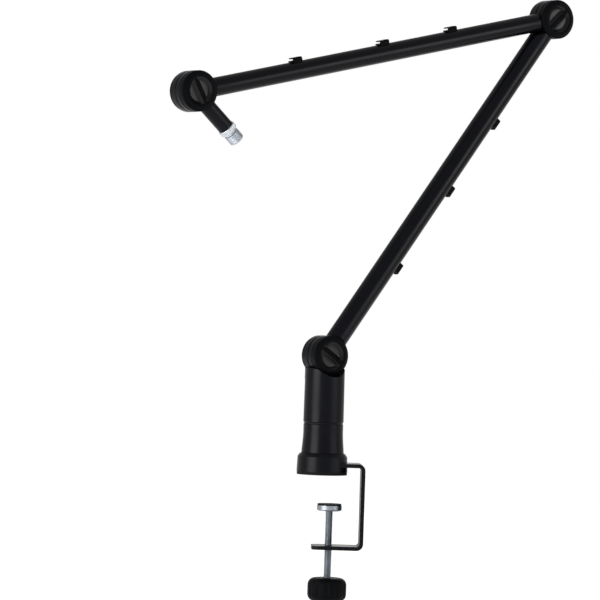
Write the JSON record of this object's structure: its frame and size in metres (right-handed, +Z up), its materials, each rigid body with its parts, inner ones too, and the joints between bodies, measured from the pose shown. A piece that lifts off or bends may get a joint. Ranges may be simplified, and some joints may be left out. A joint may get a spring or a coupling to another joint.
{
  "type": "microphone boom arm",
  "caption": "Desk-clamped microphone boom arm with a swivel column, round tube links, knobbed friction hinges, cable clips and a threaded microphone stud.",
  "frame": {"origin": "centre of the foot's underside, on the desk top", "axes": "+Z up, +X from the column towards the clamp's spine, +Y along the desk, away from the picture's viewer"},
  "size_m": [0.4293, 0.2829, 0.6409],
  "materials": {
    "steel_strip": "fine black powder coat",
    "cast_body": "satin black coat",
    "link_casting": "satin black coat",
    "tube": "semi-gloss black coat",
    "knob_plastic": "fine moulded texture",
    "clip_plastic": "fine moulded texture",
    "rubber": "matt",
    "steel": "zinc plated",
    "plated_thread": "nickel plated",
    "nut_brass": "turned",
    "bush_plastic": "moulded acetal"
  },
  "bodies": {
    "clamp": {"clamp_bracket": "steel_strip", "foot": "cast_body", "foot_cover_plate": "knob_plastic", "foot_rubber_pad": "rubber", "foot_screws": "steel", "socket_sleeve": "cast_body", "swivel_bush": "bush_plastic", "swivel_thrust_washer": "bush_plastic"},
    "pad": {"pressure_pad": "steel", "pressure_pad_cushion": "rubber"},
    "screw": {"clamp_screw": "steel", "clamp_knob": "knob_plastic"},
    "column": {"column": "cast_body", "swivel_pin": "steel", "swivel_washer": "steel", "swivel_screw": "steel", "base_hinge_bolt": "steel", "base_friction_disc": "bush_plastic", "base_back_cap": "knob_plastic"},
    "base_knob": {"base_knob": "knob_plastic", "base_knob_nut": "nut_brass", "base_knob_washer": "steel"},
    "lower_arm": {"lower_tube": "tube", "lower_near_fitting": "link_casting", "lower_far_fitting": "link_casting", "lower_fitting_pins": "steel", "lower_cable_clip_1": "clip_plastic", "lower_cable_clip_2": "clip_plastic", "lower_cable_clip_3": "clip_plastic", "base_pivot_bush": "bush_plastic", "elbow_hinge_bolt": "steel", "elbow_friction_disc": "bush_plastic", "elbow_back_cap": "knob_plastic"},
    "elbow_knob": {"elbow_knob": "knob_plastic", "elbow_knob_nut": "nut_brass", "elbow_knob_washer": "steel"},
    "upper_arm": {"upper_tube": "tube", "upper_near_fitting": "link_casting", "upper_far_fitting": "link_casting", "upper_fitting_pins": "steel", "upper_cable_clip_1": "clip_plastic", "upper_cable_clip_2": "clip_plastic", "upper_cable_clip_3": "clip_plastic", "elbow_pivot_bush": "bush_plastic", "head_hinge_bolt": "steel", "head_friction_disc": "bush_plastic", "head_back_cap": "knob_plastic"},
    "head_knob": {"head_knob": "knob_plastic", "head_knob_nut": "nut_brass", "head_knob_washer": "steel"},
    "head": {"mic_stem": "link_casting", "mic_thread_stud": "plated_thread", "lock_ring": "plated_thread", "head_pivot_bush": "bush_plastic"}
  },
  "joints": [
    {"name": "column_swivel", "type": "hinge", "parent": "clamp", "child": "column", "pos_m": [0, 0, 0.0536], "axis": [0, 0, 1], "continuous": true},
    {"name": "base_hinge", "type": "hinge", "parent": "column", "child": "lower_arm", "pos_m": [0, 0, 0.123], "axis": [0.5299, -0.848, 0], "range_deg": [-42.7, 97.3]},
    {"name": "elbow_hinge", "type": "hinge", "parent": "lower_arm", "child": "upper_arm", "pos_m": [0.2364, 0.14772, 0.48892], "axis": [0.5299, -0.848, 0], "range_deg": [-140.05, 3.95]},
    {"name": "head_hinge", "type": "hinge", "parent": "upper_arm", "child": "head", "pos_m": [-0.14409, -0.09003, 0.3874], "axis": [0.5299, -0.848, 0], "range_deg": [-185.85, 14.15]},
    {"name": "base_knob_turn", "type": "hinge", "parent": "column", "child": "base_knob", "pos_m": [0, 0, 0.123], "axis": [0.5299, -0.848, 0], "range_deg": [-20, 340]},
    {"name": "elbow_knob_turn", "type": "hinge", "parent": "lower_arm", "child": "elbow_knob", "pos_m": [0.2364, 0.14772, 0.48892], "axis": [0.5299, -0.848, 0], "range_deg": [-20, 340]},
    {"name": "head_knob_turn", "type": "hinge", "parent": "upper_arm", "child": "head_knob", "pos_m": [-0.14409, -0.09003, 0.3874], "axis": [0.5299, -0.848, 0], "range_deg": [-20, 340]},
    {"name": "pad_slide", "type": "slide", "parent": "clamp", "child": "pad", "axis": [0, 0, 1], "range_m": [-0.0345, 0.0293]},
    {"name": "screw_turn", "type": "hinge", "parent": "pad", "child": "screw", "pos_m": [0.0089, 0, -0.05], "axis": [0, 0, 1], "range_deg": [-9940, 8440]}
  ],
  "couplings": [
    {"joint": "screw_turn", "follows": "pad_slide", "rad_per_m": 5026.5}
  ]
}
